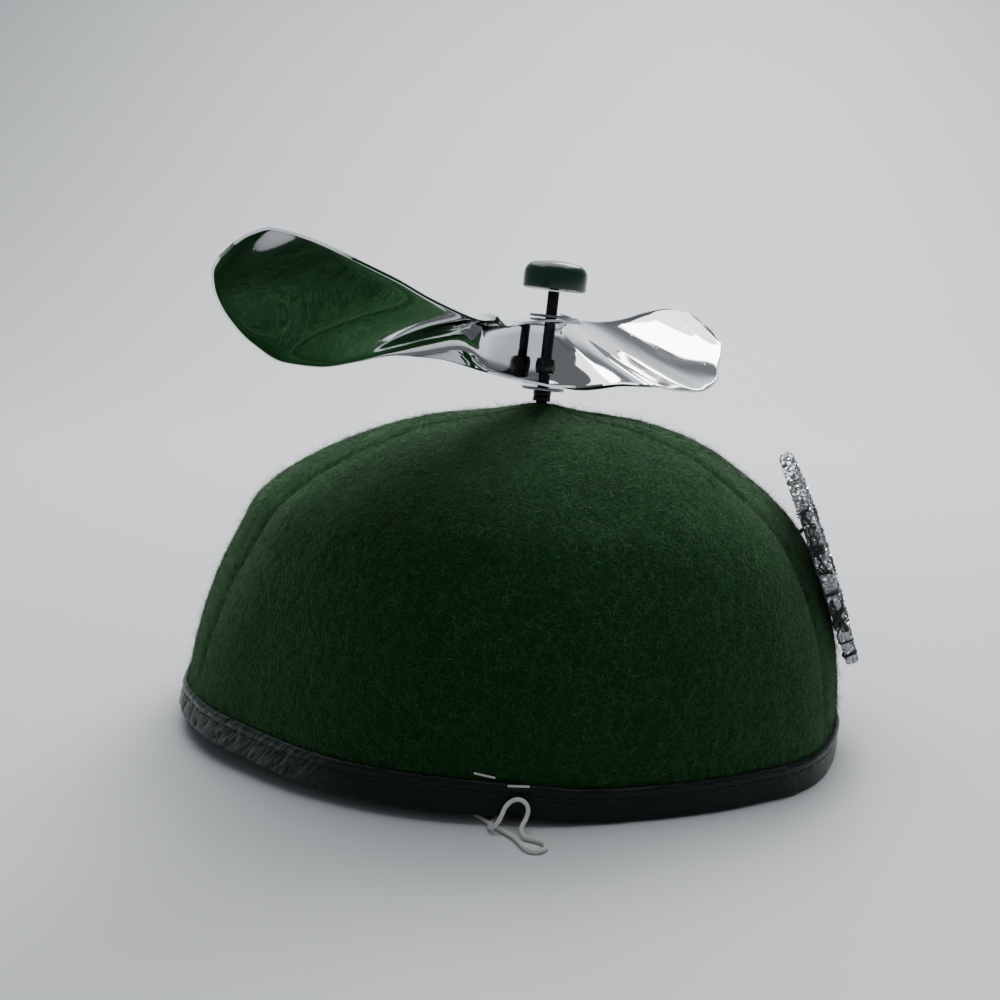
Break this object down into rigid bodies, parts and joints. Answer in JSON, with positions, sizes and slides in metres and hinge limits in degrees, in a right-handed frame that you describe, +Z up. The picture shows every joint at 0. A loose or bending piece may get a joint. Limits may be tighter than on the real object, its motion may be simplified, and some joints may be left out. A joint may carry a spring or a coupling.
{
  "type": "propeller beanie",
  "caption": "Felt skull cap with a bound rim, a spinning mirror-metal propeller and button on a crown post, a round front badge and an elastic chin cord.",
  "frame": {"origin": "middle of the base of the cap's overall box, on the surface that the rim stands on", "axes": "+Z up, +X towards the front of the cap, where the badge is, +Y towards the wearer's left"},
  "size_m": [0.1898, 0.2202, 0.1287],
  "materials": {
    "felt": "hairy wool felt",
    "satin": "satin sheen",
    "dark_metal": "satin",
    "steel": "satin",
    "mirror_sheet": "mirror polish",
    "green_plastic": "semi-gloss",
    "silver_glitter": "glitter",
    "dark_thread": "matt thread",
    "white_elastic": "matt, slightly fuzzy"
  },
  "bodies": {
    "cap": {"gore_front": "felt", "gore_front_left": "felt", "gore_rear_left": "felt", "gore_rear": "felt", "gore_rear_right": "felt", "gore_front_right": "felt", "rim_binding": "satin", "post": "dark_metal", "lower_washer": "steel", "upper_washer": "steel", "hub_bead": "dark_metal", "button": "green_plastic", "badge": "silver_glitter", "badge_thread": "dark_thread", "chin_cord": "white_elastic"},
    "propeller": {"propeller": "mirror_sheet"}
  },
  "joints": [
    {"name": "propeller_spin", "type": "hinge", "parent": "cap", "child": "propeller", "pos_m": [0.00456, -0.00008, 0.0875], "axis": [0.0782, 0.0348, 0.9963], "continuous": true}
  ]
}
